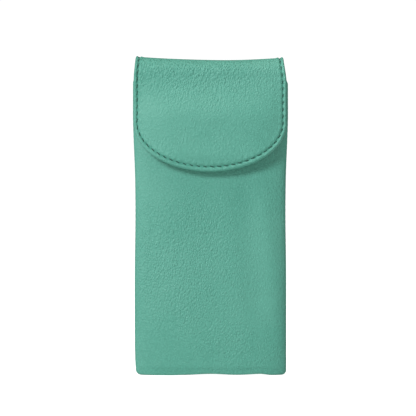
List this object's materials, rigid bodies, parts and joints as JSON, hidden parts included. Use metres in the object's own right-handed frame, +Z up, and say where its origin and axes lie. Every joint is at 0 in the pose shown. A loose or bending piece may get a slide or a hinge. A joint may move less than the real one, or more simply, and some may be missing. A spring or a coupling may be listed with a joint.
{
  "type": "soft glasses case",
  "caption": "Slim soft leather pouch for glasses, padded and lined, with a rounded fold-over flap on a hidden magnetic snap.",
  "frame": {"origin": "under the middle of the closed case, at the height of its base", "axes": "+Z up the pouch from base to fold, front face with the flap towards -Y, +X to the right seen from the front"},
  "size_m": [0.084, 0.0237, 0.1724],
  "materials": {
    "leather": "fine-grained mint leather, satin",
    "lining": "short suede-like nap",
    "foam": "soft closed-cell pad",
    "thread": "waxed dark green thread",
    "metal": "bright nickel plate",
    "magnet": "dull ferrite"
  },
  "bodies": {
    "pouch": {"front_panel": "leather", "back_panel": "leather", "front_lining": "lining", "back_lining": "lining", "front_padding": "foam", "back_padding": "foam", "mouth_topstitch": "thread", "seam_needle_thread": "thread", "seam_bobbin_thread": "thread", "socket_base": "metal", "socket_cover": "metal", "socket_magnet": "magnet", "socket_washer": "metal"},
    "fold_rear": {"fold_leather_rear": "leather", "fold_lining_rear": "lining"},
    "fold_front": {"fold_leather_front": "leather", "fold_lining_front": "lining"},
    "flap": {"flap_leather": "leather", "flap_lining": "lining", "flap_stiffener": "foam", "flap_topstitch": "thread", "flap_bobbin_thread": "thread", "stud_plate": "metal", "stud_washer": "metal"}
  },
  "joints": [
    {"name": "fold_bend_back", "type": "hinge", "parent": "pouch", "child": "fold_rear", "pos_m": [0, 0.00779, 0.16604], "axis": [-1, 0, 0], "range_deg": [0, 60], "deforming": ["fold_leather_rear", "fold_lining_rear"]},
    {"name": "fold_bend_top", "type": "hinge", "parent": "fold_rear", "child": "fold_front", "pos_m": [0, 0.0014, 0.16973], "axis": [-1, 0, 0], "range_deg": [0, 60]},
    {"name": "fold_bend_front", "type": "hinge", "parent": "fold_front", "child": "flap", "pos_m": [0, -0.00499, 0.16604], "axis": [-1, 0, 0], "range_deg": [0, 60], "deforming": ["fold_leather_front", "fold_lining_front"]}
  ],
  "couplings": [
    {"joint": "fold_bend_top", "follows": "fold_bend_back", "ratio": 1},
    {"joint": "fold_bend_front", "follows": "fold_bend_back", "ratio": 1}
  ]
}
